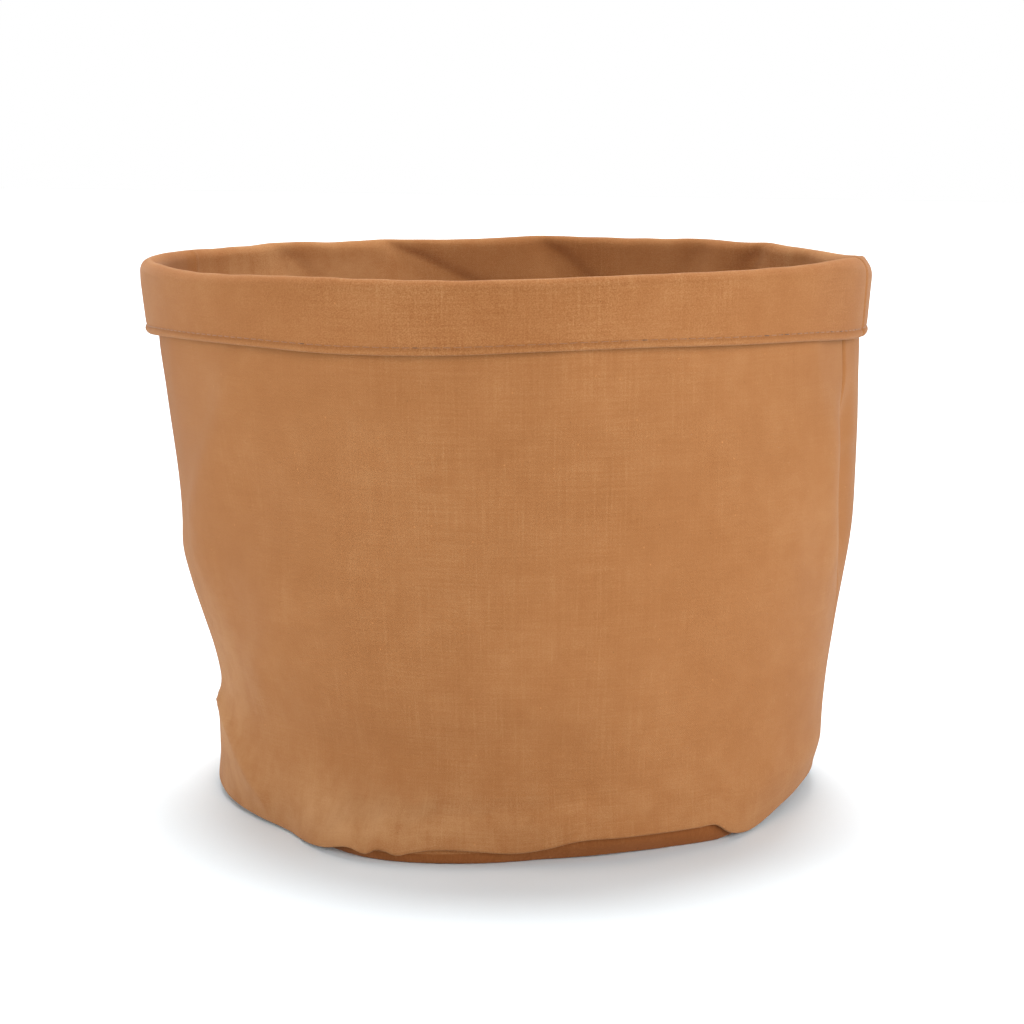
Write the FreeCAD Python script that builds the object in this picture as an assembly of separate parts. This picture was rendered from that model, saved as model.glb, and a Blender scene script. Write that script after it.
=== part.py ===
import FreeCAD, Part
import math
import os
from FreeCAD import Vector

# A round fabric grow bag with a turned-down cuff, standing on the floor.
#
# It is two bags of cloth, one inside the other: an outer bag of heavy canvas and a lining bag.
# Each is sewn from a front panel, a back panel and a round base. The two bags are joined only
# along the hem, which the turned-down cuff carries round the outside of the rim.
# All sizes are in millimetres. Z is up and the floor is Z = 0. The side seams lie on +X and -X,
# and the front panel faces -Y.

# ---- driving dimensions ----
height = 220.0          # floor to the top of the rim fold
rim_radius = 150.0      # outer face of the cuff at the rim
base_radius = 127.0     # outer face of the wall at the base seam
wall_top_radius = 143.7  # outer face of the wall behind the cuff
cuff_drop = 28.0        # top of the rim fold to the hem
canvas = 1.0            # thickness of the outer cloth
lining = 0.9            # thickness of the lining cloth
layer_gap = 2.0         # slack between the two bags, where the seam allowances lie
allowance = 8.0         # width of cloth turned in at each seam
sole_rise = 5.0         # height of the base seam above the floor
base_corner = 3.0       # how roundly the base turns up to its seam
topstitch_inset = 3.0   # topstitch line above the edge of the hem
stitch_pitch = 3.75     # from one topstitch to the next
stitch_length = 3.0     # the part of a topstitch that shows
needle_thread = 0.6     # diameter of the visible topstitching thread
seam_thread = 0.5       # diameter of the thread inside the seams
seam_gap = 0.6          # room for that thread between two panels
fit_clearance = 0.1     # between cloth layers that only lie against each other

# ---- heights and radii that follow from them ----
hem_z = height - cuff_drop
fold_gap = rim_radius - wall_top_radius - canvas - lining
fold_z = height - fold_gap / 2 - canvas - lining    # centre of the rim fold
wall_foot_z = 20.0      # the wall stands straight below this height
wall_head_z = 188.0     # and straight again above this one
seam_top_z = sole_rise + allowance
hem_top_z = hem_z + allowance
hem_jog_z = hem_top_z + 6.0         # the canvas is back against the lining here
lining_foot_z = seam_top_z + 1.0    # the lining swings out to its wall above this height
lining_join_z = 196.0               # and closes up to the canvas between these two
lining_meet_z = 207.0
base_face = base_radius - 2 * canvas            # outer face of the turned-up base
lining_base_face = base_face - canvas - fit_clearance
lining_foot_face = lining_base_face - 2 * lining
seam_half_angle = math.degrees(seam_gap / 2 / base_radius)
allowance_angle = math.degrees(allowance / wall_top_radius)

# The wall's outer face between its two straight ends, as (radius, height).
wall_flare = [
    (base_radius, wall_foot_z),
    (129.2, 50.0),
    (136.4, 95.0),
    (141.0, 140.0),
    (wall_top_radius, wall_head_z),
]


def point(radius, z):
    return Vector(radius, 0, z)


def line(start, end):
    return Part.LineSegment(point(*start), point(*end)).toShape()


def polyline(places):
    return [line(a, b) for a, b in zip(places, places[1:])]


def flare_curve(depth):
    """The flared stretch of wall, this far inside the wall's outer face."""
    curve = Part.BSplineCurve()
    curve.interpolate(
        Points=[point(r - depth, z) for r, z in wall_flare],
        InitialTangent=Vector(0, 0, 1),
        FinalTangent=Vector(0, 0, 1),
    )
    return curve.toShape()


def rim_arc(radius):
    """Half a turn over the rim, about the centre of the fold."""
    centre = wall_top_radius + fold_gap / 2
    start = point(centre - radius, fold_z)
    top = point(centre, fold_z + radius)
    end = point(centre + radius, fold_z)
    return Part.Arc(start, top, end).toShape()


def cuff_face(z):
    """Radius of the face where cuff canvas and cuff lining meet; the cuff draws in downwards."""
    top = rim_radius - lining
    hem = wall_top_radius + 0.8 + 2 * canvas + lining
    return top - (top - hem) * (fold_z - z) / (fold_z - hem_z)


def face_between(edges, other_edges):
    """The flat face between two open paths that both run from the foot to the hem."""
    foot = line_between(edges[0], other_edges[0], 0)
    hem = line_between(edges[-1], other_edges[-1], -1)
    ordered = Part.sortEdges(edges + [hem] + other_edges + [foot])[0]
    return Part.Face(Part.Wire(ordered))


def line_between(edge, other_edge, end):
    return Part.LineSegment(end_of(edge, end), end_of(other_edge, end)).toShape()


def end_of(edge, end):
    return edge.valueAt(edge.FirstParameter if end == 0 else edge.LastParameter)


def strip(low_r, high_r, low_z, high_z):
    """An upright rectangle of the section."""
    corners = [(low_r, low_z), (high_r, low_z), (high_r, high_z), (low_r, high_z), (low_r, low_z)]
    return Part.Face(Part.Wire(polyline(corners)))


def slanted_strip(outer_depth, inner_depth, low_z, high_z):
    """A strip of the section that keeps these depths behind the cuff's face."""
    corners = [
        (cuff_face(low_z) - inner_depth, low_z),
        (cuff_face(low_z) - outer_depth, low_z),
        (cuff_face(high_z) - outer_depth, high_z),
        (cuff_face(high_z) - inner_depth, high_z),
        (cuff_face(low_z) - inner_depth, low_z),
    ]
    return Part.Face(Part.Wire(polyline(corners)))


def turn(face, start, sweep):
    """Revolves a section about Z, from the start angle and through the sweep, in degrees."""
    face = face.copy()
    face.rotate(Vector(0, 0, 0), Vector(0, 0, 1), start)
    return face.revolve(Vector(0, 0, 0), Vector(0, 0, 1), sweep)


def join(shapes):
    whole = shapes[0].multiFuse(shapes[1:]) if len(shapes) > 1 else shapes[0]
    return whole.Solids[0] if len(whole.Solids) == 1 else whole


def save(name, shape):
    shape.exportStep("parts/" + name + ".step")


# ---- paths through the section ----
def canvas_path(depth, foot_z=sole_rise, end_z=hem_z):
    """Up the wall, over the rim and down the cuff, this far inside the wall's outer face."""
    behind = lining + 2 * canvas - depth    # depth behind the cuff's face, inside the hem
    return (
        polyline([(base_radius - depth, foot_z), (base_radius - depth, wall_foot_z)])
        + [flare_curve(depth)]
        + polyline([(wall_top_radius - depth, wall_head_z), (wall_top_radius - depth, fold_z)])
        + [rim_arc(fold_gap / 2 + depth)]
        + polyline(
            [
                (wall_top_radius + fold_gap + depth, fold_z),
                (cuff_face(hem_jog_z) - canvas + depth, hem_jog_z),
                (cuff_face(hem_top_z) - behind, hem_top_z),
                (cuff_face(end_z) - behind, end_z),
            ]
        )
    )


def lining_path(depth, foot_z=sole_rise, end_z=hem_z):
    """The lining's way beside the canvas, this far inside its own outer face."""
    wall = canvas + layer_gap + depth
    over = canvas + depth
    return (
        polyline(
            [
                (lining_foot_face - depth, foot_z),
                (lining_foot_face - depth, lining_foot_z),
                (base_radius - wall, wall_foot_z),
            ]
        )
        + [flare_curve(wall)]
        + polyline(
            [
                (wall_top_radius - wall, wall_head_z),
                (wall_top_radius - wall, lining_join_z),
                (wall_top_radius - over, lining_meet_z),
                (wall_top_radius - over, fold_z),
            ]
        )
        + [rim_arc(fold_gap / 2 + over)]
        + polyline([(wall_top_radius + fold_gap + over, fold_z), (cuff_face(end_z) + depth, end_z)])
    )


def wall_strip(outer_depth, inner_depth, low_z):
    """The side-seam allowance: a strip that follows the wall up to where it stands straight."""
    outer = polyline([(base_radius - outer_depth, low_z), (base_radius - outer_depth, wall_foot_z)])
    inner = polyline([(base_radius - inner_depth, low_z), (base_radius - inner_depth, wall_foot_z)])
    return face_between(outer + [flare_curve(outer_depth)], inner + [flare_curve(inner_depth)])


# ---- panels ----
def panel(sections, seam_strip, start):
    """A half-round panel between two side seams, with the allowance turned in along both."""
    first = start + seam_half_angle
    sweep = 180.0 - 2 * seam_half_angle
    body = [turn(section, first, sweep) for section in sections]
    near = turn(seam_strip, first, allowance_angle)
    far = turn(seam_strip, first + sweep - allowance_angle, allowance_angle)
    return join(body + [near, far])


def outer_panel(start):
    cloth = face_between(canvas_path(0), canvas_path(canvas))
    base_allowance = strip(base_face, base_face + canvas, sole_rise, seam_top_z)
    hem_allowance = slanted_strip(lining, lining + canvas, hem_z, hem_top_z)
    seam_strip = wall_strip(canvas, 2 * canvas, lining_foot_z)
    return panel([cloth, base_allowance, hem_allowance], seam_strip, start)


def lining_panel(start):
    cloth = face_between(lining_path(0), lining_path(lining))
    base_allowance = strip(lining_foot_face, lining_foot_face + lining, sole_rise, seam_top_z)
    hem_allowance = slanted_strip(0, lining, hem_z, hem_top_z)
    seam_strip = wall_strip(canvas + layer_gap - lining, canvas + layer_gap, wall_foot_z - 1)
    return panel([cloth, base_allowance, hem_allowance], seam_strip, start)


def base_panel(face_radius, thickness, underside_z, corner):
    """A round base whose edge turns up to the seam, with its allowance standing above it."""
    flat_radius = face_radius - corner
    top_z = underside_z + thickness
    corner_z = underside_z + corner
    slant = math.sqrt(0.5)
    outer_middle = point(flat_radius + corner * slant, corner_z - corner * slant)
    inner_corner = corner - thickness
    inner_middle = point(flat_radius + inner_corner * slant, corner_z - inner_corner * slant)
    edges = [
        line((0, underside_z), (flat_radius, underside_z)),
        Part.Arc(point(flat_radius, underside_z), outer_middle, point(face_radius, corner_z)).toShape(),
        line((face_radius, corner_z), (face_radius, seam_top_z)),
        line((face_radius, seam_top_z), (face_radius - thickness, seam_top_z)),
        line((face_radius - thickness, seam_top_z), (face_radius - thickness, corner_z)),
        Part.Arc(
            point(face_radius - thickness, corner_z), inner_middle, point(flat_radius, top_z)
        ).toShape(),
        line((flat_radius, top_z), (0, top_z)),
        line((0, top_z), (0, underside_z)),
    ]
    return turn(Part.Face(Part.Wire(edges)), 0, 360)


# ---- threads ----
def side_seam_thread(path, thickness, angle):
    """The line of thread that closes a side seam, in the middle of the cloth."""
    low = (thickness - seam_thread) / 2
    section = face_between(path(low), path(low + seam_thread))
    half = math.degrees(seam_thread / 2 / wall_top_radius)
    return turn(section, angle - half, 2 * half)


def base_seam_thread(radius):
    return Part.makeTorus(radius, seam_thread / 2, Vector(0, 0, sole_rise - seam_thread / 2))


def topstitches(radius, z, diameter):
    """One short bar of thread for each stitch, level with the hem."""
    count = round(2 * math.pi * radius / stitch_pitch)
    stitches = []
    for i in range(count):
        angle = 2 * math.pi * (i + 0.5) / count
        along = Vector(-math.sin(angle), math.cos(angle), 0)
        middle = Vector(radius * math.cos(angle), radius * math.sin(angle), z)
        start = middle - along * (stitch_length / 2)
        stitches.append(Part.makeCylinder(diameter / 2, stitch_length, start, along))
    return Part.makeCompound(stitches)


front_start = 180.0     # the front panel runs from -X through -Y to +X
back_start = 0.0
save("outer_front_panel", outer_panel(front_start))
save("outer_back_panel", outer_panel(back_start))
save("outer_base_panel", base_panel(base_face, canvas, 0.0, base_corner))

save("lining_front_panel", lining_panel(front_start))
save("lining_back_panel", lining_panel(back_start))
lining_floor_z = canvas + fit_clearance
save("lining_base_panel", base_panel(lining_base_face, lining, lining_floor_z, base_corner - canvas))

for side, angle in (("right", 0.0), ("left", 180.0)):
    save("outer_" + side + "_seam_thread", side_seam_thread(canvas_path, canvas, angle))
    save("lining_" + side + "_seam_thread", side_seam_thread(lining_path, lining, angle))
save("outer_base_seam_thread", base_seam_thread(base_face + seam_thread / 2))
save("lining_base_seam_thread", base_seam_thread(lining_base_face - lining - seam_thread / 2))

topstitch_z = hem_z + topstitch_inset
cuff_front = cuff_face(topstitch_z) + lining
cuff_back = cuff_face(topstitch_z) - lining - 2 * canvas
save("rim_topstitch_needle_thread", topstitches(cuff_front + needle_thread / 2, topstitch_z, needle_thread))
save("rim_topstitch_bobbin_thread", topstitches(cuff_back - seam_thread / 2 - 0.02, topstitch_z, seam_thread))
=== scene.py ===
"""A brown fabric grow bag: two bags of cloth, one inside the other, with the rim turned down as a cuff.

The cloth is laid out as paths in a section (radius, height), swept round the bag, and then bent by one
shape function, so that the layers stay parallel. Millimetres are used until a mesh is made.
Angles are in degrees round the bag, seen from above: 0 faces the camera and positive is to its right.
"""
import math
import bmesh
import bpy
import numpy as np
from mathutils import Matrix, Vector


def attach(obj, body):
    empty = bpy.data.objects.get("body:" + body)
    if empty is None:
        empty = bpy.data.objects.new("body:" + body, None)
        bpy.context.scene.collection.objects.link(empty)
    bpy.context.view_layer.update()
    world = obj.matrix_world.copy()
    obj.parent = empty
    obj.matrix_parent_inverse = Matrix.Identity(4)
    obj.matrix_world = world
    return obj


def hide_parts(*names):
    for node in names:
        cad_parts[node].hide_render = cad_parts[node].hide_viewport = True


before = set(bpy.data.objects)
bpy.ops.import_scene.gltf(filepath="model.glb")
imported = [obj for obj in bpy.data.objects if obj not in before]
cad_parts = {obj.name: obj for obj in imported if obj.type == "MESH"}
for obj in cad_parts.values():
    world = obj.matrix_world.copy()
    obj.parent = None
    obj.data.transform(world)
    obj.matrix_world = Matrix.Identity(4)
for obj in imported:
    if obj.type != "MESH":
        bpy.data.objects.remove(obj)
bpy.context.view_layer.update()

MM = 0.001
VIEW_TURN = 20.0            # the camera stands this far round from the middle of the front panel
RIGHT_SEAM = 90.0 - VIEW_TURN
LEFT_SEAM = RIGHT_SEAM - 180.0
CANVAS = 1.0                # thickness of the two cloths, and the room left between them
LINING = 0.9
LAYER_GAP = 2.0
STEP = 2.0                  # spacing of the cloth's vertices
THREAD_R = 0.22
WALL_R = 138.0              # the wall's mean radius, for distances across its face
PATTERN_R = 144.0           # its radius near the top, for distances on the flat cloth

# ---- small maths ----


def bell(x, width):
    return np.exp(-((x / width) ** 2))


def ramp(x, low, high):
    t = np.clip((x - low) / (high - low), 0, 1)
    return t * t * (3 - 2 * t)


def away(phi, centre):
    """Degrees from a centre, between -180 and 180."""
    return (phi - centre + 180.0) % 360.0 - 180.0


def along(x, stations):
    """A smooth curve through (place, value) pairs."""
    xs, ys = np.array(stations, float).T
    slopes = np.gradient(ys, xs)
    x = np.clip(x, xs[0], xs[-1])
    i = np.clip(np.searchsorted(xs, x, side="right") - 1, 0, len(xs) - 2)
    h = xs[i + 1] - xs[i]
    t = (x - xs[i]) / h
    a = (2 * t**3 - 3 * t**2 + 1) * ys[i] + (t**3 - 2 * t**2 + t) * h * slopes[i]
    b = (-2 * t**3 + 3 * t**2) * ys[i + 1] + (t**3 - t**2) * h * slopes[i + 1]
    return a + b


def around(phi, stations):
    """A smooth closed curve through (angle, value) pairs."""
    first = [(a - 360, v) for a, v in stations]
    last = [(a + 360, v) for a, v in stations]
    return along((phi + 180.0) % 360.0 - 180.0, first + list(stations) + last)


def ripple(phi, z, seed, count=14, low=3, high=9, tall=70.0):
    """Gentle seeded undulation, about 1 in size, that closes round the bag."""
    rng = np.random.default_rng(seed)
    total = 0.0
    for _ in range(count):
        waves = rng.integers(low, high + 1)
        lean = rng.uniform(-1, 1) / tall * 2 * math.pi
        size = rng.uniform(0.5, 1)
        total = total + size * np.sin(np.radians(phi) * waves + z * lean + rng.uniform(0, 6.3))
    return total / math.sqrt(count)


def crease(phi, z, places, height, above=6.0, below=6.0, ends=0.25, sharp=False):
    """A ridge that follows (angle, height) places; above and below are its widths on its two sides.

    A sharp one has a knife edge, like a pressed fold.
    """
    x = np.radians(away(phi, 0)) * WALL_R
    pts = [(math.radians(a) * WALL_R, h) for a, h in places]
    lengths = [math.dist(p, q) for p, q in zip(pts, pts[1:])]
    total = sum(lengths)
    best = np.full(np.broadcast(x, z).shape, 1e9)
    side = np.zeros_like(best)
    part = np.zeros_like(best)
    run = 0.0
    for (ax, az), (bx, bz), length in zip(pts, pts[1:], lengths):
        ux, uz = (bx - ax) / length, (bz - az) / length
        t = np.clip((x - ax) * ux + (z - az) * uz, 0, length)
        dx, dz = x - ax - t * ux, z - az - t * uz
        d = np.hypot(dx, dz)
        near = d < best
        best = np.where(near, d, best)
        side = np.where(near, np.sign(ux * dz - uz * dx), side)
        part = np.where(near, (run + t) / total, part)
        run += length
    width = np.where(side > 0, above, below)
    fade = ramp(part, 0, ends) * (1 - ramp(part, 1 - ends, 1))
    return height * np.exp(-((best / width) ** (1.0 if sharp else 2.0))) * fade


# ---- the bag's shape ----
# Radius of the wall's outer face by height, where it is seen edge-on at the left and at the right.
LEFT_EDGE = [(0, 120.0), (20, 120.0), (45, 120.0), (60, 122.9), (76, 127.3), (90, 131.3), (101, 133.8),
             (112, 134.2), (144, 137.5), (169, 140.6), (187, 143.0), (216, 143.2)]
RIGHT_EDGE = [(0, 131.5), (16, 132.8), (34, 133.4), (68, 137.5), (102, 142.4), (119, 144.2),
              (136, 145.3), (169, 145.6), (187, 145.3), (216, 143.6)]
# Radius of the foot of the wall round the bag.
FOOT = [(-110, 122), (-78, 121.9), (-66, 122.2), (-55, 122.1), (-44, 123.3), (-35, 129.2),
        (-24, 136.8), (-7, 135.4), (5, 132.6), (12, 133.6), (20, 133.4), (30, 132.4), (41, 133.0),
        (51, 129.8), (60, 128.0), (70, 127.5), (84, 129.5), (110, 131), (150, 130), (180, 128),
        (215, 124)]
# Height of the wall's bottom fold over the base's underside.
FOLD_RISE = [(-110, 2.0), (-85, 1.5), (-50, 0.8), (-38, 0.8), (-31, 2.0), (-25.5, 4.6), (-22.2, 3.4),
             (-20.6, 5.4), (-19.2, 5.2), (-17.4, 3.8), (-15, 5.2), (-11, 6.6), (-7, 6.5), (3, 5.0),
             (7, 6.2), (11, 8.2), (20, 8.3), (34, 8.0), (38, 7.6), (41, 3.2), (44, 1.2), (60, 1.0),
             (85, 2.0), (110, 3.0), (180, 3.0)]
# How far the foot is off the floor, the rim above its mean height, and the hem above its own.
FOOT_LIFT = [(-110, 1.0), (-75, 1.5), (-60, 0.8), (-40, 0.0), (0, 0.0), (20, 0.4), (40, 0.0),
             (46, 0.9), (53, 2.3), (64, 4.0), (76, 5.0), (88, 4.5), (110, 2.0), (150, 0.0), (200, 0.0)]
RIM_RISE = [(-107, -0.7), (-85, -0.4), (-65, -0.2), (-55, -0.9), (-31, 0.1), (-8, -0.1), (20, 1.6),
            (36, 1.8), (50, 2.2), (64, 2.7), (84, 0.6), (104, -1.6), (120, -0.6), (127, 0.2),
            (134, -0.1), (142, 0.5), (150, 0.0), (165, 0.0), (174, 0.3), (184, -0.9), (195, -1.2),
            (203, -0.8), (212, -1.3), (224, -0.5), (232, -1.1)]
HEM_RISE = [(-110, -0.5), (-77, -0.9), (-67, 0.4), (-41, 1.8), (-24, 1.0), (-10, 1.4), (5, 3.0),
            (22, 3.7), (35, 3.0), (50, 1.8), (63, -0.1), (79, -1.6), (110, -0.5), (180, 0.5)]
CUFF_FACE = [(192, 147.7), (194, 147.9), (199, 148.5), (207, 149.4), (212, 149.95), (216, 150.1)]
# How far the base's edge, and the lining inside it, tuck in towards the floor.
TUCK = [(-60, 0.0), (-30, 0.3), (-8, 0.5), (3, 2.0), (9, 3.8), (20, 4.2), (28, 3.4), (40, 1.0),
        (52, 0.5), (180, 0.5)]
RIM_Z = 215.9
HEM_Z = 192.0
STITCH_Z = HEM_Z + 2.9
FOLD_Z = 4.2                # height of the wall's bottom fold in its plain, unbent path


def mean_wall(z):
    return (along(z, LEFT_EDGE) + along(z, RIGHT_EDGE)) / 2


def foot_lift(phi):
    return np.maximum(around(phi, FOOT_LIFT), 0.0)


def tuck_in(phi, z):
    return around(phi, TUCK) * (1 - 0.5 * ramp(z, 1, 7))


def wall_shape(phi, z):
    """How far the wall stands out from its mean radius."""
    lean = (along(z, RIGHT_EDGE) - along(z, LEFT_EDGE)) / 2 * np.sin(np.radians(phi))
    foot = 1 - ramp(z, 1, 22 + 6 * bell(away(phi, 0), 40))
    out = lean * (1 - foot) + (around(phi, FOOT) - mean_wall(z)) * foot
    body = ramp(z, 5, 60) * (1 - ramp(z, 175, 205))
    out = out + 0.55 * body * ripple(phi, z, 11) + 0.25 * body * ripple(phi, z, 5, 12, 8, 18, 40.0)
    # the front is fuller below, as if soil had once filled it
    out = out + 4.0 * bell(away(phi, -8), 42) * (1 - ramp(z, 35, 125)) * ramp(z, 2, 24)
    # the soft fold that runs down the left from below the cuff, and the dent under its lower end
    left_fold = [(-43, 192), (-46, 180), (-51, 159), (-60, 133), (-68, 112), (-74, 104)]
    out = out + crease(phi, z, left_fold, 2.4, 17, 10)
    out = out - crease(phi, z, [(-38, 150), (-46, 120), (-54, 96), (-60, 84)], 1.2, 18, 18)
    # the faint arc low on the left, and the sharp crease below it
    low_arc = [(-55, 38), (-51, 52), (-47, 67), (-38, 87), (-28, 100), (-16, 106)]
    out = out + crease(phi, z, low_arc, 2.1, 14, 9)
    low_left = [(-78, 46), (-72, 39), (-64, 31), (-57, 22), (-51, 13), (-49, -6)]
    out = out + crease(phi, z, low_left, 4.0, 5, 15, 0.14, sharp=True) * ramp(z, 4, 22)
    out = out - 2.8 * bell(away(phi, -38), 13) * bell(z - 38, 16) * ramp(z, 13, 26)
    # the light swelling along the bottom, left of the middle
    swelling = [(-44, 4), (-36, 6), (-29, 11), (-21, 14), (-9, 17), (6, 20), (16, 21)]
    out = out + crease(phi, z, swelling, 3.4, 6, 12, 0.2)
    above_it = [(-42, 26), (-30, 33), (-16, 40), (4, 45), (22, 46)]
    out = out - crease(phi, z, above_it, 2.3, 14, 12) * ramp(z, 13, 28)
    # the right-hand edge of the front panel stands proud of the back one
    proud = ramp(z, 84, 112) * (1 - ramp(z, 152, 178))
    edge = 60.0 + 7.0 * (1 - ramp(z, 90, 140))
    out = out + proud * (2.6 * bell(away(phi, edge), 5.5) - 4.4 * bell(away(phi, edge + 8.5), 4.0))
    out = out + 1.2 * ramp(z, 60, 120) * (1 - ramp(z, 165, 185)) * bell(away(phi, 52), 7)
    out = out - crease(phi, z, [(70, 147), (76, 145), (84, 147)], 0.9, 3.0, 4.5, 0.2)
    # pulls along the foot
    out = out - crease(phi, z, [(-18, 15), (-15, 20), (-11, 28)], 0.8, 4, 5, 0.3) * ramp(z, 12, 20)
    out = out + crease(phi, z, [(38, 4), (48, 20), (58, 34)], 0.9, 7, 9, 0.3)
    return out


# Turning the rim down has pulled it into flats between kinks: (angle at the rim, degrees that the kink's
# fold leans in 20 mm of depth, how far the flat after it is drawn in, depth of the fold's own groove).
KINKS = [(-107.0, 0, 1.0, 0.0), (-62.0, -3, 0.8, 0.3), (-24.0, 2, 0.9, 0.2), (14.0, -3, 0.9, 0.3),
         (52.0, 2, 0.9, 0.2), (73.0, 0, 0.3, 0.0), (114.2, 4, 1.2, 0.8), (127.1, 7, 2.0, 2.0),
         (140.5, 5, 3.0, 1.2), (174.1, -9, 3.4, 1.9), (203.6, -16, 2.8, 1.6), (226.6, -9, 1.8, 1.7)]


def rim_shape(phi, z):
    """The drag folds that turning the rim down has pulled into the top of the wall."""
    depth = np.clip(220.0 - z, 0, 200)
    drift = np.minimum(depth, 45) / 20.0
    out = 0.0
    for i, (start, lean, flat, groove) in enumerate(KINKS):
        after, after_lean = KINKS[(i + 1) % len(KINKS)][:2]
        low = start + lean * drift
        span = (after - start) % 360.0 + (after_lean - lean) * drift
        t = np.clip(((phi - low) % 360.0) / np.maximum(span, 4.0), 0, 1)
        out = out - flat * 4 * t * (1 - t)
        open_out = 2.1 + 1.1 * np.minimum(depth, 40) / 20.0
        out = out + groove * bell(away(phi, low), open_out) * ramp(depth, 1, 7)
    return out * (1 - ramp(depth, 30, 85)) + 1.9 * ramp(z, 196, 213)


def cuff_shape(phi, z):
    down = 1 - ramp(z, 192, 214)
    out = 0.5 * np.sin(np.radians(phi)) * down
    out = out + 0.35 * ripple(phi, z, 23, 12, 4, 14, 60.0)
    out = out + 0.3 * down * bell(away(phi, -70), 8) + 0.8 * bell(away(phi, 66), 7)
    out = out - 2.0 * ramp(z, 213, 220) * bell(away(phi, 82), 14)
    # its hem is bulky where the seams end
    knot = bell(away(phi, RIGHT_SEAM + 4), 2.5) + bell(away(phi, LEFT_SEAM), 2.5)
    out = out + 0.35 * knot * bell(z - HEM_Z - 1.5, 2.0)
    # the stitch row presses a groove, and the hem swells into a lip below it
    return out - 0.4 * bell(z - STITCH_Z, 0.42) + 0.6 * bell(z - HEM_Z - 1.2, 1.05)


def place(phi, r, z, c):
    """Bends the plain bag into its real shape. c runs from 0 on the wall to 1 on the cuff."""
    phi, r, z, c = np.broadcast_arrays(*(np.asarray(a, float) for a in (phi, r, z, c)))
    inside = mean_wall(z) - r
    # the side seam wanders back from under the cuff to the foot, and out of sight
    wander = -3.4 + 2.4 * (1 - ramp(z, 120, 168)) + 13.0 * (1 - ramp(z, 30, 140))
    spot = phi + bell(away(phi, RIGHT_SEAM), 22) * (wander * (1 - c) + 1.8 * c)
    past = away(phi, RIGHT_SEAM)
    step = np.where(past > 0, bell(past, 0.65), bell(past, 0.3))
    slit = 0.8 + 2.4 * ramp(z, 132, 150) * (1 - ramp(z, 186, 204))
    groove = slit * step + 0.8 * bell(away(phi, LEFT_SEAM), 0.7)
    groove = groove * ramp(z, 6, 20) * (1 - 0.6 * ramp(z, 200, 212))
    wall = wall_shape(spot, z) + rim_shape(spot, z) - groove
    cuff_seam = 1.1 * (bell(past, 0.6) + bell(away(phi, LEFT_SEAM), 0.6))
    cuff = cuff_shape(spot, z) - cuff_seam + 0.55 * (rim_shape(spot, 219.0) - 1.9) * ramp(z, 192, 216)
    lining = ramp(inside, 2.3, 2.9)
    tuck = tuck_in(spot, z) * (1 - ramp(z, 14, 34)) * lining
    radius = r + (wall - tuck) * (1 - c) + cuff * c
    lift = foot_lift(spot) * (1 - ramp(z, 0, 45)) * ramp(r, 95, 126)
    lift = lift + (around(spot, FOLD_RISE) - FOLD_Z) * (1 - ramp(z, 7, 32)) * (1 - lining)
    top = (around(spot, RIM_RISE) + 0.2 * ripple(spot, 0 * z, 31, 16, 20, 55)) * ramp(z, 150, 214)
    hem = around(spot, HEM_RISE)
    t = np.clip((z - HEM_Z) / (RIM_Z - HEM_Z), 0, 1)
    rise = lift + top * (1 - c) + (hem * (1 - t) + around(spot, RIM_RISE) * t) * c
    angle = np.radians(spot + VIEW_TURN)
    return np.stack([radius * np.sin(angle), -radius * np.cos(angle), z + rise], -1)


# ---- cloth paths in the section: rows of (radius, height, c) ----


def arc(centre_r, centre_z, radius, start, end, count):
    a = np.radians(np.linspace(start, end, count))
    return [(centre_r + radius * math.cos(t), centre_z + radius * math.sin(t)) for t in a]


def rows(z0, z1, step):
    return np.linspace(z0, z1, max(2, int(round(abs(z1 - z0) / step)) + 1))


def canvas_path():
    """Hem allowance at the base, wall, rim fold, inner side of the cuff, hem allowance."""
    foot = 5.2
    out, back = CANVAS / 2, 1.65
    pts = [(mean_wall(z) - back, z, 0.0) for z in rows(13, foot + 0.6, 1.5)]
    middle = mean_wall(foot) - (out + back) / 2
    pts += [(r, z, 0.0) for r, z in arc(middle, foot + 0.1, (back - out) / 2, 180, 360, 9)[1:-1]]
    pts += [(mean_wall(z) - out, z, 0.0) for z in rows(foot + 0.6, 9, 0.7)]
    pts += [(mean_wall(z) - out, z, 0.0) for z in rows(9, 208, STEP)[1:]]
    pts += [(mean_wall(RIM_Z) - out, z, 0.0) for z in rows(208, RIM_Z, 1.5)[1:-1]]
    pts += rim_turn(mean_wall(RIM_Z) - out, along(RIM_Z, CUFF_FACE) - LINING - out)
    pts += [(along(z, CUFF_FACE) - cuff_depth(z, 3.0), z, 1.0) for z in rows(RIM_Z, HEM_Z + 1.2, 1.5)[1:]]
    hem = along(HEM_Z, CUFF_FACE)
    pts += [(r, z, 1.0) for r, z in arc(hem - 2.55, HEM_Z + 1.0, 0.45, 180, 360, 7)]
    pts += [(along(z, CUFF_FACE) - 2.1, z, 1.0) for z in rows(HEM_Z + 1.6, HEM_Z + 8, 1.5)]
    return np.array(pts)


def cuff_depth(z, at_hem):
    """Depth of the canvas's centre below the cuff's face; the turned-in allowances push it away."""
    return at_hem + (LINING + CANVAS / 2 - at_hem) * ramp(z, HEM_Z + 7, HEM_Z + 14)


def rim_turn(inner, outer):
    """Over the rim, from one radius to the other."""
    centre, radius = (inner + outer) / 2, (outer - inner) / 2
    count = 15
    return [
        (r, z, float(ramp(i / (count - 1), 0.05, 0.95)))
        for i, (r, z) in enumerate(arc(centre, RIM_Z, radius, 180, 0, count))
    ]


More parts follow.
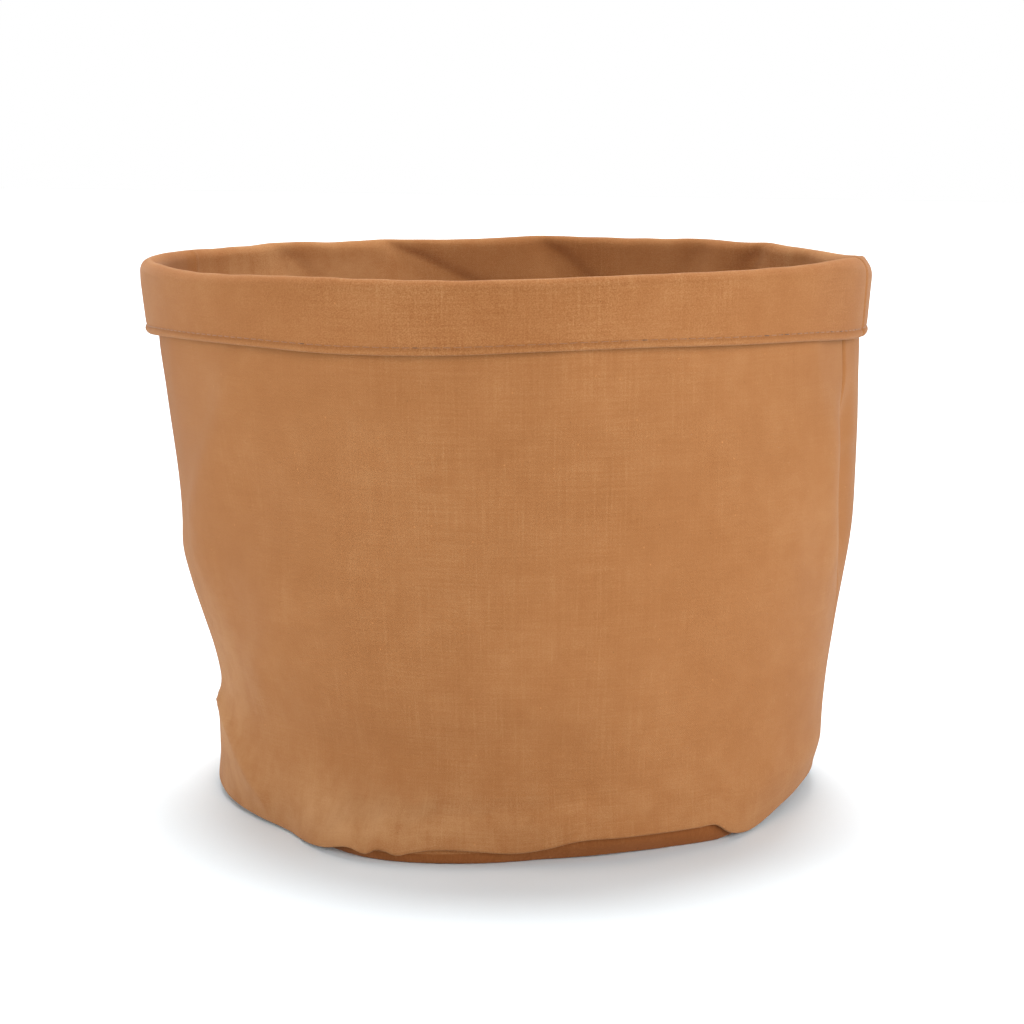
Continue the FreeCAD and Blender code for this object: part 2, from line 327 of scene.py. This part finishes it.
def lining_path():
    """Base allowance, wall, over the rim, the cuff's face, hem allowance."""
    half = LINING / 2
    slack = CANVAS + LAYER_GAP + half
    pts = [(mean_wall(6) - 3.6, z, 0.0) for z in rows(13, 5.4, 1.5)]
    pts += [(r, z, 0.0) for r, z in arc(mean_wall(6) - 4.1, 4.9, 0.5, 360, 180, 7)]
    pts += [(mean_wall(z) - slack - 1.15 * (1 - ramp(z, 8, 20)), z, 0.0) for z in rows(5.5, 24, 1.2)]
    pts += [(mean_wall(z) - slack, z, 0.0) for z in rows(24, 190, STEP)[1:]]
    tight = CANVAS + half
    pts += [
        (mean_wall(z) - slack + (slack - tight) * ramp(z, 192, 209), z, 0.0)
        for z in rows(190, RIM_Z, 1.5)[1:-1]
    ]
    pts += rim_turn(mean_wall(RIM_Z) - tight, along(RIM_Z, CUFF_FACE) - half)
    pts += [(along(z, CUFF_FACE) - half, z, 1.0) for z in rows(RIM_Z, STITCH_Z + 2.0, 1.0)[1:]]
    pts += [(along(z, CUFF_FACE) - half, z, 1.0) for z in rows(STITCH_Z + 2.0, HEM_Z + 0.9, 0.4)[1:]]
    hem = along(HEM_Z, CUFF_FACE)
    pts += [(r, z, 1.0) for r, z in arc(hem - half - 0.43, HEM_Z + 0.6, 0.43, 360, 180, 7)]
    pts += [(along(z, CUFF_FACE) - half - 0.86, z, 1.0) for z in rows(HEM_Z + 1.2, HEM_Z + 8, 1.5)]
    return np.array(pts)


# ---- meshes ----


def run_lengths(path):
    """Distance along a path to each of its places."""
    return np.concatenate([[0], np.cumsum(np.hypot(*np.diff(path[:, :2], axis=0).T))])


def path_normals(path):
    delta = np.gradient(path[:, :2], axis=0)
    normal = np.stack([delta[:, 1], -delta[:, 0]], 1)
    return normal / np.linalg.norm(normal, axis=1)[:, None]


def new_object(name, verts, faces, uvs=None):
    """verts in millimetres. uvs, in metres, are per vertex."""
    mesh = bpy.data.meshes.new(name)
    faces = np.asarray(faces)
    mesh.vertices.add(len(verts))
    mesh.vertices.foreach_set("co", (np.asarray(verts, float) * MM).ravel())
    size = faces.shape[1]
    mesh.loops.add(faces.size)
    mesh.loops.foreach_set("vertex_index", faces.ravel())
    mesh.polygons.add(len(faces))
    mesh.polygons.foreach_set("loop_start", np.arange(0, faces.size, size))
    mesh.polygons.foreach_set("use_smooth", np.full(len(faces), True))
    mesh.update(calc_edges=True)
    if uvs is not None:
        layer = mesh.uv_layers.new(name="cloth")
        layer.data.foreach_set("uv", np.asarray(uvs, float)[faces.ravel()].ravel())
    mesh.validate()
    obj = bpy.data.objects.new(name, mesh)
    bpy.context.scene.collection.objects.link(obj)
    return obj


def seam_columns(start, sweep):
    """Angles across a panel, from seam to seam, closer together beside the seams."""
    arc_length = math.radians(sweep) * WALL_R
    near = np.array([0.12, 0.35, 0.6, 0.9, 1.3, 1.8, 2.4, 3.1, 4.1, 5.4])
    inside = np.linspace(7.0, arc_length - 7.0, int((arc_length - 14) / STEP))
    places = np.concatenate([near, inside, arc_length - near[::-1]])
    return start + places / arc_length * sweep


def panel(name, path, thickness, start):
    """A closed thin sheet: a path swept from seam to seam, with a face and a back."""
    cols = seam_columns(start, 180.0)
    normal = path_normals(path)
    sides = []
    for offset in (thickness / 2, -thickness / 2):
        r = path[:, 0] + normal[:, 0] * offset
        z = path[:, 1] + normal[:, 1] * offset
        sides.append(place(cols[None, :], r[:, None], z[:, None], path[:, 2][:, None]))
    n, m = len(path), len(cols)
    verts = np.concatenate([s.reshape(-1, 3) for s in sides])
    u = np.broadcast_to(np.radians(cols)[None, :] * PATTERN_R, (n, m))
    v = np.broadcast_to(run_lengths(path)[:, None], (n, m))
    uv = np.stack([u, v], -1).reshape(-1, 2) * MM
    index = np.arange(n * m).reshape(n, m)
    quads = np.stack([index[:-1, :-1], index[:-1, 1:], index[1:, 1:], index[1:, :-1]], -1).reshape(-1, 4)
    back = quads[:, ::-1] + n * m
    rim = np.concatenate([index[0, :], index[1:, -1], index[-1, -2::-1], index[-2:0:-1, 0]])
    after = np.roll(rim, -1)
    edge = np.stack([after, rim, rim + n * m, after + n * m], -1)
    faces = np.concatenate([quads, back, edge])
    return new_object(name, verts, faces, np.concatenate([uv, uv]))


def base_disc(name, radius, thickness, underside, top):
    """A round of cloth whose edge bulges a little past the base seam before it turns up to it."""
    low = underside + thickness / 2
    edge = [(-5.2, 0.0), (-4.0, 0.05), (-3.0, 0.45), (-2.5, 1.4), (-2.1, 2.7), (-2.0, 4.2), (-2.0, 5.7),
            (-2.0, 7.2)]
    turn = np.linspace(0, len(edge) - 1, 18)
    path = [(r, low) for r in np.linspace(0.0, radius - 4.8, 60)]
    turn_r = radius + along(turn, [(i, r) for i, (r, _) in enumerate(edge)])
    turn_z = low + along(turn, [(i, z) for i, (_, z) in enumerate(edge)])
    path += list(zip(turn_r, turn_z))
    path += [(radius - 2.0, z) for z in rows(path[-1][1], top, 1.0)[1:]]
    path = np.array(path)
    normal = path_normals(path)
    cols = np.arange(0, 360, 0.8)
    n, m = len(path), len(cols)
    verts, uvs = [], []
    for offset in (thickness / 2, -thickness / 2):
        r = np.maximum(path[:, 0] + normal[:, 0] * offset, 0.0)
        z = path[:, 1] + normal[:, 1] * offset
        reach = ramp(r, 60, radius - 1)
        tuck = tuck_in(cols[None, :], z[:, None]) * ramp(r, 60, radius - 6)[:, None]
        grown = r[:, None] + base_out(cols)[None, :] * reach[:, None] - tuck
        spot = place_base(cols[None, :], grown, z[:, None])
        verts.append(spot.reshape(-1, 3))
        uvs.append(np.stack([spot[..., 0], spot[..., 1]], -1).reshape(-1, 2))
    index = np.arange(n * m).reshape(n, m)
    nxt = np.roll(index, -1, axis=1)
    quads = np.stack([index[:-1], nxt[:-1], nxt[1:], index[1:]], -1)[1:].reshape(-1, 4)
    back = quads[:, ::-1] + n * m
    edge = np.stack([nxt[-1], index[-1], index[-1] + n * m, nxt[-1] + n * m], -1)
    faces = np.concatenate([quads, back, edge])
    cap = index[1]
    obj = new_object(name, np.concatenate(verts), faces, np.concatenate(uvs) * MM)
    close_round(obj, [cap, cap[::-1] + n * m])
    return obj


def close_round(obj, loops):
    """Closes the small hole in the middle of a round of cloth and drops unused vertices."""
    bm = bmesh.new()
    bm.from_mesh(obj.data)
    bm.verts.ensure_lookup_table()
    layer = bm.loops.layers.uv.active
    for loop in loops:
        face = bm.faces.new([bm.verts[int(i)] for i in loop[::-1]])
        face.smooth = True
        for corner in face.loops:
            corner[layer].uv = corner.vert.co.xy
    bmesh.ops.delete(bm, geom=[v for v in bm.verts if not v.link_faces], context="VERTS")
    bmesh.ops.recalc_face_normals(bm, faces=bm.faces)
    bm.to_mesh(obj.data)
    bm.free()


def base_out(phi):
    """How far the base's edge stands out from a circle, to stay just inside the wall's foot."""
    return around(phi, FOOT) - mean_wall(4)


def place_base(phi, r, z):
    """Stands a place of the base, or of its upturned edge, on the floor."""
    lift = foot_lift(phi) * ramp(r, 95, 125)
    angle = np.radians(phi + VIEW_TURN)
    return np.stack([r * np.sin(angle), -r * np.cos(angle), z + lift + 0 * r], -1)


def bars(name, starts, ends, radius):
    """Short round-ended bars of thread, one from each start to each end."""
    starts, ends = np.asarray(starts), np.asarray(ends)
    along_bar = ends - starts
    length = np.linalg.norm(along_bar, axis=1)[:, None]
    axis = along_bar / length
    up = np.where(np.abs(axis[:, 2:3]) > 0.9, [[1.0, 0, 0]], [[0, 0, 1.0]])
    side = np.cross(axis, up)
    side /= np.linalg.norm(side, axis=1)[:, None]
    other = np.cross(axis, side)
    rings = [(0.0, 0.35), (0.06, 0.8), (0.2, 1.0), (0.5, 1.08), (0.8, 1.0), (0.94, 0.8), (1.0, 0.35)]
    corners = 8
    verts = []
    for place_along, size in rings:
        for k in range(corners):
            a = 2 * math.pi * k / corners
            offset = (side * math.cos(a) + other * math.sin(a)) * radius * size
            verts.append(starts + along_bar * place_along + offset)
    verts = np.stack(verts, 1)
    count = verts.shape[1]
    faces = []
    for i in range(len(rings) - 1):
        for k in range(corners):
            a, b = i * corners + k, i * corners + (k + 1) % corners
            faces.append((a, b, b + corners, a + corners))
    last = (len(rings) - 1) * corners
    for k in range(1, corners - 2, 2):
        faces.append((0, k + 2, k + 1, k))
        faces.append((last, last + k, last + k + 1, last + k + 2))
    faces = np.array(faces)
    every = (faces[None] + (np.arange(len(starts)) * count)[:, None, None]).reshape(-1, 4)
    return new_object(name, verts.reshape(-1, 3), every)


# ---- materials ----
COLOUR = (0.299, 0.1235, 0.0430)
THREAD_WAVE = 2 * math.pi / 0.85      # the weave repeats every 0.85 mm


class Nodes:
    """A small helper for building a node tree."""

    def __init__(self, material):
        material.use_nodes = True
        self.tree = material.node_tree
        self.tree.nodes.clear()

    def add(self, kind, **settings):
        node = self.tree.nodes.new(kind)
        for key, value in settings.items():
            setattr(node, key, value)
        return node

    def link(self, a, b):
        self.tree.links.new(a, b)

    def math(self, operation, a, b=None, clamp=False):
        node = self.tree.nodes.new("ShaderNodeMath")
        node.operation = operation
        node.use_clamp = clamp
        for i, value in enumerate((a, b)):
            if value is None:
                continue
            if isinstance(value, (int, float)):
                node.inputs[i].default_value = value
            else:
                self.link(value, node.inputs[i])
        return node.outputs[0]

    def noise(self, vector, scale, detail=2.0, rough=0.5):
        node = self.tree.nodes.new("ShaderNodeTexNoise")
        node.inputs["Scale"].default_value = scale
        node.inputs["Detail"].default_value = detail
        node.inputs["Roughness"].default_value = rough
        self.link(vector, node.inputs["Vector"])
        return node.outputs["Fac"]

    def stretch(self, vector, scale, offset=(0, 0, 0)):
        node = self.tree.nodes.new("ShaderNodeMapping")
        node.inputs["Scale"].default_value = scale
        node.inputs["Location"].default_value = offset
        self.link(vector, node.inputs["Vector"])
        return node.outputs[0]

    def range(self, value, low, high, to_low=0.0, to_high=1.0):
        node = self.tree.nodes.new("ShaderNodeMapRange")
        self.link(value, node.inputs["Value"])
        for key, number in (("From Min", low), ("From Max", high), ("To Min", to_low), ("To Max", to_high)):
            node.inputs[key].default_value = number
        return node.outputs[0]

    def blend(self, kind, factor, a, b):
        node = self.tree.nodes.new("ShaderNodeMix")
        node.data_type = "RGBA"
        node.blend_type = kind
        for socket, value in ((node.inputs[0], factor), (node.inputs[6], a), (node.inputs[7], b)):
            if isinstance(value, (int, float)):
                socket.default_value = value
            elif isinstance(value, tuple):
                socket.default_value = (*value, 1.0)
            else:
                self.link(value, socket)
        return node.outputs[2]


def shaded(colour, *factors):
    """A colour with its channels multiplied, by one factor or by one for each."""
    if len(factors) == 1:
        factors = factors * 3
    return tuple(min(1, c * k) for c, k in zip(colour, factors))


def canvas_material(name, colour, seed, coarse=1.0, painted_light_and_shade=()):
    """Brown canvas: an uneven dye, fine upright ribs that come and go, loose thread ends and lint.

    Light threads are paler and dark ones are redder than the cloth. coarse strengthens the weave.
    The last argument lists places on the cloth, as (distance round, distance along, reach round, reach
    along, amount) in metres, where light and shade are painted into the colour: painted light where the
    amount is above zero, painted shade where it is below.
    """
    material = bpy.data.materials.new(name)
    n = Nodes(material)
    uv = n.add("ShaderNodeUVMap", uv_map="cloth").outputs[0]
    base = n.stretch(uv, (1000, 1000, 1000), (seed * 37.0, seed * 11.0, seed))   # millimetres
    plain = n.add("ShaderNodeSeparateXYZ")
    n.link(uv, plain.inputs[0])
    # the nap is rubbed off down the middle of the front, and in patches elsewhere
    off_middle = n.math("DIVIDE", n.math("SUBTRACT", plain.outputs[0], 0.004), 0.052)
    band = n.math("DIVIDE", 1.0, n.math("ADD", n.math("POWER", n.math("ABSOLUTE", off_middle), 4.0), 1.0))
    patch = n.range(n.noise(n.stretch(base, (0.03, 0.018, 1)), 1.0, 3, 0.6), 0.44, 0.64)
    rubbed = n.math("ADD", n.math("MULTIPLY", patch, 0.55), n.math("MULTIPLY", band, 0.75), clamp=True)
    broad = n.noise(base, 0.011, 3, 0.55)
    cloudy = n.noise(base, 0.075, 4, 0.62)
    fine = n.noise(base, 1.9, 2, 0.75)
    ribs = n.noise(n.stretch(base, (0.95, 0.022, 1)), 1.0, 2, 0.55)
    wefts = n.noise(n.stretch(base, (0.035, 1.1, 1)), 1.0, 2, 0.55)
    broken = n.range(n.noise(n.stretch(base, (0.35, 0.09, 1)), 1.0, 3, 0.6), 0.36, 0.62)
    lines = n.math("MULTIPLY", n.range(ribs, 0.46, 0.78, -0.03, 0.10), broken)
    lines = n.math("ADD", lines, n.range(wefts, 0.3, 0.8, -0.035, 0.05))
    where = n.math("ADD", n.math("MULTIPLY", rubbed, 0.65), 0.42)
    grain = n.math("MULTIPLY", n.range(fine, 0.3, 0.7, -0.115, 0.115), where)
    tone = n.math("ADD", n.range(broad, 0.3, 0.7, -0.055, 0.055), n.range(cloudy, 0.3, 0.7, -0.042, 0.042))
    tone = n.math("ADD", tone, n.math("MULTIPLY", grain, coarse))
    lines = n.math("MULTIPLY", lines, n.math("ADD", rubbed, 0.2))
    tone = n.math("ADD", tone, n.math("MULTIPLY", lines, coarse ** 0.5))
    # painted light and shade: each listed patch makes the colour paler or darker in place of real lighting
    for u, v, reach_u, reach_v, amount in painted_light_and_shade:
        spread = 1.0
        for axis, middle, reach in ((0, u, reach_u), (1, v, reach_v)):
            off = n.math("DIVIDE", n.math("SUBTRACT", plain.outputs[axis], middle), reach)
            spread = n.math("ADD", n.math("POWER", n.math("ABSOLUTE", off), 3.0), spread)
        painted_light_patch = n.math("DIVIDE", amount, spread)
        tone = n.math("ADD", tone, n.math("MULTIPLY", painted_light_patch, n.range(cloudy, 0.3, 0.6, 0.55, 1.15)))
    # short loose threads, lying both ways
    for scale, turned in (((0.11, 0.55, 1), 3.0), ((0.6, 0.09, 1), 8.0)):
        dots = n.add("ShaderNodeTexVoronoi", feature="F1")
        bent = n.math("MULTIPLY", n.noise(base, 0.5, 1), 0.8)
        moved = n.add("ShaderNodeVectorMath", operation="ADD")
        n.link(n.stretch(base, scale, (turned, turned, 0)), moved.inputs[0])
        n.link(bent, moved.inputs[1])
        n.link(moved.outputs[0], dots.inputs["Vector"])
        dots.inputs["Scale"].default_value = 1.0
        chosen = n.range(n.noise(base, 0.05, 2), 0.54, 0.6)
        hair = n.math("MULTIPLY", n.range(dots.outputs["Distance"], 0.10, 0.05), chosen)
        tone = n.math("ADD", tone, n.math("MULTIPLY", hair, 0.13, clamp=True))
    tone = n.math("ADD", tone, 0.5, clamp=True)
    shades = n.add("ShaderNodeValToRGB")
    shades.color_ramp.elements[0].color = (*shaded(colour, 0.72, 0.60, 0.46), 1)
    shades.color_ramp.elements[0].position = 0.15
    shades.color_ramp.elements[1].color = (*shaded(colour, 1.38, 1.70, 2.1), 1)
    shades.color_ramp.elements[1].position = 0.85
    shades.color_ramp.elements.new(0.5).color = (*colour, 1)
    n.link(tone, shades.inputs[0])
    colour_out = shades.outputs[0]
    # specks of lint, and of dirt
    for size, seen, shade in ((0.045, 0.45, 1.7), (0.03, 0.5, 0.35)):
        specks = n.add("ShaderNodeTexVoronoi", feature="F1")
        n.link(n.stretch(base, (0.13, 0.10, 1), (shade * 9, 0, 0)), specks.inputs["Vector"])
        specks.inputs["Scale"].default_value = 1.0
        speck = n.math("MULTIPLY", n.range(specks.outputs["Distance"], size, size * 0.6), seen, clamp=True)
        colour_out = n.blend("MIX", speck, colour_out, shaded(colour, shade))
    # weave and ribs
    split = n.add("ShaderNodeSeparateXYZ")
    n.link(base, split.inputs[0])
    wobble = n.math("MULTIPLY", n.noise(base, 0.25, 2), 1.2)
    across = n.math("ADD", split.outputs[0], wobble)
    weft = n.math("SINE", n.math("MULTIPLY", n.math("ADD", split.outputs[1], wobble), THREAD_WAVE))
    warp = n.math("SINE", n.math("MULTIPLY", across, THREAD_WAVE))
    weave = n.math("MULTIPLY", n.math("MULTIPLY", weft, warp), 0.35)
    height = n.math("ADD", weave, n.math("MULTIPLY", fine, 1.2))
    height = n.math("ADD", height, n.math("MULTIPLY", n.math("MULTIPLY", ribs, rubbed), coarse))
    height = n.math("ADD", height, n.math("MULTIPLY", wefts, 0.7))
    bump = n.add("ShaderNodeBump")
    bump.inputs["Strength"].default_value = 0.5
    bump.inputs["Distance"].default_value = 0.00016
    n.link(height, bump.inputs["Height"])
    shader = n.add("ShaderNodeBsdfPrincipled")
    n.link(colour_out, shader.inputs["Base Color"])
    n.link(n.range(fine, 0.3, 0.7, 0.86, 0.98), shader.inputs["Roughness"])
    shader.inputs["Specular IOR Level"].default_value = 0.08
    shader.inputs["Sheen Weight"].default_value = 0.11
    shader.inputs["Sheen Roughness"].default_value = 0.4
    shader.inputs["Sheen Tint"].default_value = (1.0, 0.88, 0.74, 1.0)
    n.link(bump.outputs[0], shader.inputs["Normal"])
    out = n.add("ShaderNodeOutputMaterial")
    n.link(shader.outputs[0], out.inputs[0])
    return material


def thread_material(name, colour):
    """Thin cotton thread, uneven in tone, with dark spots of painted shade where it sinks into its needle
    holes.
    """
    material = bpy.data.materials.new(name)
    n = Nodes(material)
    coords = n.add("ShaderNodeTexCoord").outputs["Object"]
    noise = n.noise(coords, 900.0, 2)
    shade = n.blend("MIX", noise, shaded(colour, 0.85), shaded(colour, 1.15))
    # painted shade: the thread turns dark in spots, for the shadow inside its needle holes
    sunk = n.range(n.noise(coords, 230.0, 1), 0.60, 0.66)
    painted_hole_shade = n.math("MULTIPLY", sunk, 0.85, clamp=True)
    shade = n.blend("MIX", painted_hole_shade, shade, shaded(colour, 0.25))
    bump = n.add("ShaderNodeBump")
    bump.inputs["Strength"].default_value = 0.6
    bump.inputs["Distance"].default_value = 0.0001
    n.link(n.noise(coords, 2600.0, 1), bump.inputs["Height"])
    shader = n.add("ShaderNodeBsdfPrincipled")
    n.link(shade, shader.inputs["Base Color"])
    shader.inputs["Roughness"].default_value = 0.7
    shader.inputs["Sheen Weight"].default_value = 0.2
    n.link(bump.outputs[0], shader.inputs["Normal"])
    out = n.add("ShaderNodeOutputMaterial")
    n.link(shader.outputs[0], out.inputs[0])
    return material


def run_length(path, z, c):
    """Distance along a cloth path, in metres, to the place nearest a height on the wall or on the cuff."""
    nearest = np.argmin(np.abs(path[:, 1] - z) + 99 * np.abs(path[:, 2] - c))
    return float(run_lengths(path)[nearest]) * MM


def painted_light_place(path, phi, z, c, reach_u, reach_v, amount):
    """A patch of painted light (amount above zero) or painted shade (below zero) for canvas_material, given
    by its angle and height on the bag. c is 1 on the cuff.
    """
    return (math.radians(phi) * PATTERN_R * MM, run_length(path, z, c), reach_u, reach_v, amount)


ALL_ROUND = 9.0             # a reach, in metres, far longer than the bag's girth
on_wall, on_lining = canvas_path(), lining_path()
# light and shade painted into the outer canvas
wall_painted_light = [
    # painted bounce light from the white floor: paler in a band all round the foot
    painted_light_place(on_wall, 0, 15, 0.0, ALL_ROUND, 0.012, 0.05),
    # painted light on the swelling along the bottom, left of the middle
    painted_light_place(on_wall, -24, 15, 0.0, 0.042, 0.008, 0.24),
    # painted light on the low facet at the left
    painted_light_place(on_wall, -67, 42, 0.0, 0.020, 0.034, 0.16),
    # painted shade high on the left, under the cuff
    painted_light_place(on_wall, -76, 165, 0.0, 0.030, 0.034, -0.13),
    # painted shade on the back panel's strip beside the right seam
    painted_light_place(on_wall, 79, 110, 0.0, 0.014, 0.050, -0.08),
]
# light painted into the lining and the cuff
cuff_painted_light = [
    # painted highlight along the rim's fold
    painted_light_place(on_lining, 0, 219.5, 0.5, ALL_ROUND, 0.0016, 0.13),
    # painted highlight on the hem's lip
    painted_light_place(on_lining, 0, HEM_Z + 1.2, 1.0, ALL_ROUND, 0.0014, 0.11),
    # painted light on the inside of the wall, seen over the rim at the left
    painted_light_place(on_lining, 226, 190, 0.0, 0.065, 0.04, 0.22),
    # painted light on the inside of the wall, seen over the rim at the right
    painted_light_place(on_lining, 112, 190, 0.0, 0.025, 0.04, 0.30),
]
outer_cloth = canvas_material("outer_canvas", COLOUR, 1, painted_light_and_shade=wall_painted_light)
lining_cloth = canvas_material("lining_canvas", shaded(COLOUR, 0.96, 0.93, 0.90), 2, 1.8, cuff_painted_light)
# the base's cloth is a darker copy of the canvas: painted shade for the shadowed strip of base under the
# wall's bottom fold
base_cloth_painted_shade = canvas_material("base_canvas_painted_shade", shaded(COLOUR, 0.72, 0.58, 0.47), 3)
thread = thread_material("sewing_thread", shaded(COLOUR, 0.8))

# ---- the pieces ----


def finish_piece(obj, material, node):
    """Gives an object its material, puts it under its body, and hides the part of the model that it stands
    in for.
    """
    obj.data.materials.append(material)
    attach(obj, "root")
    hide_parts(node)


for side, start in (("front", LEFT_SEAM), ("back", RIGHT_SEAM)):
    outer = panel("outer_%s_panel_cloth" % side, canvas_path(), CANVAS, start)
    finish_piece(outer, outer_cloth, "outer_%s_panel" % side)
    inner = panel("lining_%s_panel_cloth" % side, lining_path(), LINING, start)
    finish_piece(inner, lining_cloth, "lining_%s_panel" % side)

outer_base = base_disc("outer_base_panel_cloth", mean_wall(4) - 0.9, CANVAS, 0.0, 12.5)
finish_piece(outer_base, base_cloth_painted_shade, "outer_base_panel")
lining_base = base_disc("lining_base_panel_cloth", mean_wall(4) - 4.3, LINING, 1.3, 11.5)
finish_piece(lining_base, lining_cloth, "lining_base_panel")

# topstitching just above the hem: two rows of thread, one stitch every 3.8 mm
ROW_R = 148.0
count = round(2 * math.pi * ROW_R / 3.8)
middles = (np.arange(count) + 0.5) * 360 / count
half = 1.45 / ROW_R * 180 / math.pi
face_r = float(along(STITCH_Z, CUFF_FACE))
for name, r, size, node in (
    ("rim_topstitch_needle_stitches", face_r + 0.02, 0.2, "rim_topstitch_needle_thread"),
    ("rim_topstitch_bobbin_stitches", face_r - 3.65, THREAD_R, "rim_topstitch_bobbin_thread"),
):
    drop = np.random.default_rng(7).uniform(-0.12, 0.12, count)
    first = place(middles - half, r, STITCH_Z + drop, 1.0)
    last = place(middles + half, r, STITCH_Z - drop, 1.0)
    finish_piece(bars(name, first, last, size), thread, node)


def stitch_run(name, path, skip, angle, node):
    """Stitches that climb a side seam along a cloth path, less the places to skip at its two ends."""
    keep = path[skip[0]: len(path) - skip[1]]
    lengths = run_lengths(keep)
    stops = np.arange(0, lengths[-1], 3.0)
    firsts, lasts = stops[:-1], stops[:-1] + 2.5
    ends = []
    for s in (firsts, lasts):
        r, z, c = (np.interp(s, lengths, keep[:, k]) for k in range(3))
        ends.append(place(np.full(len(s), angle), r, z, c))
    finish_piece(bars(name, ends[0], ends[1], THREAD_R), thread, node)


for side, angle in (("right", RIGHT_SEAM), ("left", LEFT_SEAM)):
    for layer, path, skip in (("outer", canvas_path(), (12, 8)), ("lining", lining_path(), (14, 8))):
        seam = "%s_%s_seam" % (layer, side)
        stitch_run(seam + "_stitches", path, skip, angle, seam + "_thread")


def ring_run(name, r, z, node):
    """Stitches round a base seam."""
    number = round(2 * math.pi * r / 3.2)
    a = np.arange(number) * 360.0 / number
    half_bar = 1.3 / r * 180 / math.pi
    ends = []
    for s in (a - half_bar, a + half_bar):
        ends.append(place_base(s, r + base_out(s), z + np.maximum(around(s, FOLD_RISE) - FOLD_Z, 0.0)))
    finish_piece(bars(name, ends[0], ends[1], THREAD_R), thread, node)


ring_run("outer_base_seam_stitches", mean_wall(4) - 1.9, 6.5, "outer_base_seam_thread")
ring_run("lining_base_seam_stitches", mean_wall(4) - 4.9, 6.5, "lining_base_seam_thread")

# ---- floor, light and camera ----
floor_mesh = bpy.data.meshes.new("floor")
floor_mesh.from_pydata([(-6, -6, 0), (6, -6, 0), (6, 6, 0), (-6, 6, 0)], [], [(0, 1, 2, 3)])
floor = bpy.data.objects.new("floor", floor_mesh)
bpy.context.scene.collection.objects.link(floor)
floor_material = bpy.data.materials.new("floor")
nodes = Nodes(floor_material)
plain = nodes.add("ShaderNodeBsdfDiffuse")
plain.inputs[0].default_value = (0.83, 0.9, 0.94, 1)
nodes.link(plain.outputs[0], nodes.add("ShaderNodeOutputMaterial").inputs[0])
floor_mesh.materials.append(floor_material)

# the camera sees a white surround, but the bag feels only a little light from it
world = bpy.data.worlds.new("studio")
bpy.context.scene.world = world
sky = Nodes(world)
seen = sky.add("ShaderNodeBackground")
seen.inputs[0].default_value = (1, 1, 1, 1)
seen.inputs[1].default_value = 1.0
felt = sky.add("ShaderNodeBackground")
felt.inputs[0].default_value = (1, 1, 1, 1)
felt.inputs[1].default_value = 0.18
choose = sky.add("ShaderNodeMixShader")
sky.link(sky.add("ShaderNodeLightPath").outputs["Is Camera Ray"], choose.inputs[0])
sky.link(felt.outputs[0], choose.inputs[1])
sky.link(seen.outputs[0], choose.inputs[2])
sky.link(choose.outputs[0], sky.add("ShaderNodeOutputWorld").inputs[0])


def soft_sun(name, azimuth, elevation, strength, size=35):
    """A broad soft lamp in a direction seen from the bag: azimuth 0 is behind the camera."""
    data = bpy.data.lights.new(name, "SUN")
    data.energy = strength
    data.angle = math.radians(size)
    lamp = bpy.data.objects.new(name, data)
    a, e = math.radians(azimuth + VIEW_TURN), math.radians(elevation)
    towards = Vector((math.sin(a) * math.cos(e), -math.cos(a) * math.cos(e), math.sin(e)))
    lamp.rotation_euler = towards.to_track_quat("Z", "Y").to_euler()
    bpy.context.scene.collection.objects.link(lamp)


soft_sun("left_light", -92, 8, 2.15)
soft_sun("right_light", 90, 15, 0.9)
soft_sun("right_front_light", 62, 15, 1.0)
soft_sun("front_light", 11, 20, 1.85)
soft_sun("back_light", 180, 74, 3.15, 26)
soft_sun("back_left_light", -140, 50, 0.75)
soft_sun("back_right_light", 140, 50, 0.6)

camera_data = bpy.data.cameras.new("camera")
camera_data.lens = 87.48
camera_data.sensor_width = 36.0
camera = bpy.data.objects.new("camera", camera_data)
bpy.context.scene.collection.objects.link(camera)
turn = math.radians(VIEW_TURN)
stand_back, sideways, up = 1.0306, 0.0025, 0.2834
camera.location = (
    stand_back * math.sin(turn) + sideways * math.cos(turn),
    -stand_back * math.cos(turn) + sideways * math.sin(turn),
    up,
)
camera.rotation_euler = (math.radians(90 - 9.402), 0, turn)
bpy.context.scene.camera = camera
bpy.context.scene.view_settings.view_transform = "Standard"
